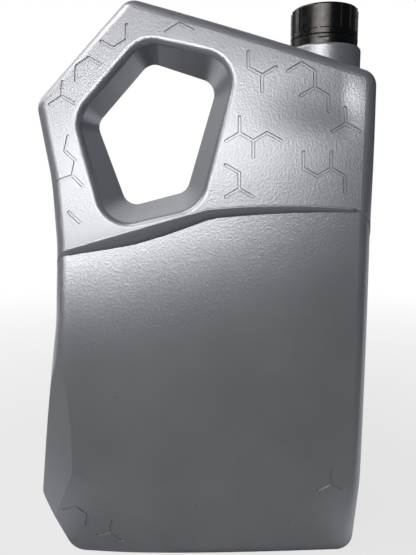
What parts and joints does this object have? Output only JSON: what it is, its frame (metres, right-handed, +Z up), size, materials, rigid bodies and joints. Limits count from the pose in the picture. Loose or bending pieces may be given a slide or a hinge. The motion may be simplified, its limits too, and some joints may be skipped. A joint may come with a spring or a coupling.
{
  "type": "antifreeze jug",
  "caption": "Blown plastic jug for engine coolant with a ring-shaped hand grip, bulged label panel, offset neck, ribbed screw cap and tamper band.",
  "frame": {"origin": "on the standing surface, under the middle of the jug's box", "axes": "+X along the width towards the neck, -Y towards the front, +Z up"},
  "size_m": [0.2048, 0.1106, 0.3436],
  "materials": {
    "silver_polyethylene": "satin, silver-grey metallic pigment",
    "black_polypropylene": "semi-gloss black",
    "foamed_polyethylene": "matt white"
  },
  "bodies": {
    "bottle": {"bottle": "silver_polyethylene", "tamper_band": "black_polypropylene"},
    "cap_liner": {"cap_liner": "foamed_polyethylene"},
    "cap": {"cap": "black_polypropylene"}
  },
  "joints": [
    {"name": "cap_lift", "type": "slide", "parent": "bottle", "child": "cap_liner", "axis": [0, 0, 1], "range_m": [0, 0.0211]},
    {"name": "cap_turn", "type": "hinge", "parent": "cap_liner", "child": "cap", "pos_m": [0.0775, 0, 0.33], "axis": [0, 0, 1], "range_deg": [0, 1800]}
  ],
  "couplings": [
    {"joint": "cap_lift", "follows": "cap_turn", "m_per_rad": 0.00066845}
  ]
}
